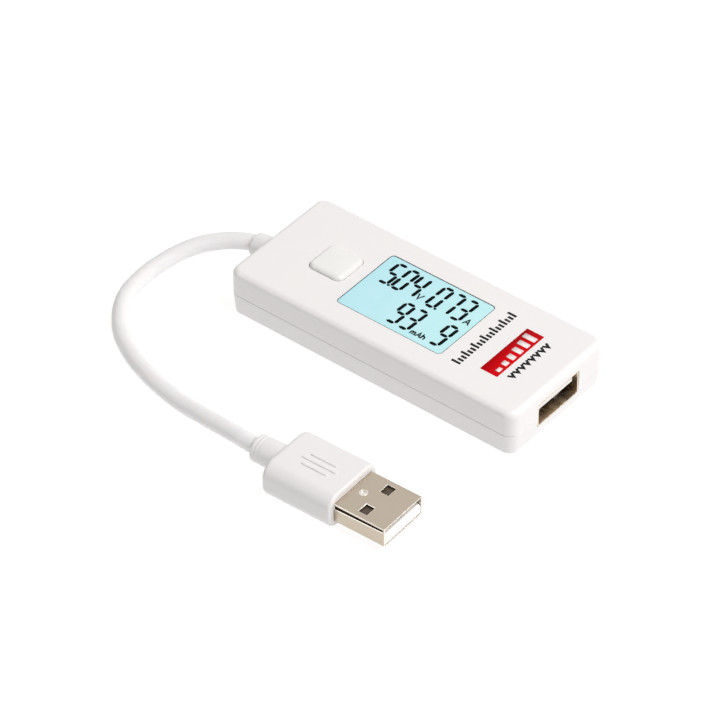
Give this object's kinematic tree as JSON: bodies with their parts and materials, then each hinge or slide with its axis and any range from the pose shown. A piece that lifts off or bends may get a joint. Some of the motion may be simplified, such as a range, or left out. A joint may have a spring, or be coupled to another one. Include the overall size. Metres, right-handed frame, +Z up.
{
  "type": "usb power meter",
  "caption": "In-line USB power meter: flat white housing with a lit display and a press key, a USB socket in one end and a short lead with a USB plug at the other.",
  "frame": {"origin": "centre of the housing's underside, on the surface it stands on", "axes": "+X along the housing from the cable end to the socket end, +Y across the display towards the top of its digits, +Z up through the display"},
  "size_m": [0.0915, 0.0688, 0.0116],
  "materials": {
    "white_plastic": "satin moulded, warm white",
    "soft_white": "satin soft PVC, warm white",
    "display_glass": "polished, lit light cyan from behind",
    "backlight": "diffusing",
    "contact_strip": "matte",
    "board": "solder mask",
    "chip": "moulded epoxy",
    "nickel": "nickel-plated steel, stamped",
    "gilt": "gold-flashed spring contact",
    "capacitor": "fired",
    "insulator": "moulded",
    "wire_red": "PVC insulation",
    "wire_white": "PVC insulation",
    "wire_green": "PVC insulation",
    "wire_black": "PVC insulation"
  },
  "bodies": {
    "housing": {"upper_cover": "white_plastic", "lower_cover": "white_plastic", "strain_relief": "soft_white", "cable": "soft_white", "plug_overmould": "soft_white", "lcd_front_glass": "display_glass", "lcd_rear_glass": "display_glass", "backlight_guide": "backlight", "lcd_contact_strip": "contact_strip", "circuit_board": "board", "measuring_chip": "chip", "regulator_chip": "chip", "shunt_resistor": "chip", "switch_base": "chip", "socket_shell": "nickel", "plug_shell": "nickel", "switch_frame": "nickel", "timing_crystal": "nickel", "socket_contact_1": "gilt", "socket_contact_2": "gilt", "socket_contact_3": "gilt", "socket_contact_4": "gilt", "plug_contact_1": "gilt", "plug_contact_2": "gilt", "plug_contact_3": "gilt", "plug_contact_4": "gilt", "capacitor_1": "capacitor", "capacitor_2": "capacitor", "capacitor_3": "capacitor", "socket_tongue": "insulator", "plug_insulator": "insulator", "wire_power": "wire_red", "wire_data_minus": "wire_white", "wire_data_plus": "wire_green", "wire_ground": "wire_black"},
    "button": {"button_cap": "white_plastic", "switch_plunger": "chip"}
  },
  "joints": [
    {"name": "button_press", "type": "slide", "parent": "housing", "child": "button", "axis": [0, 0, -1], "range_m": [0, 0.00035], "stiffness_N_per_m": 1000}
  ]
}
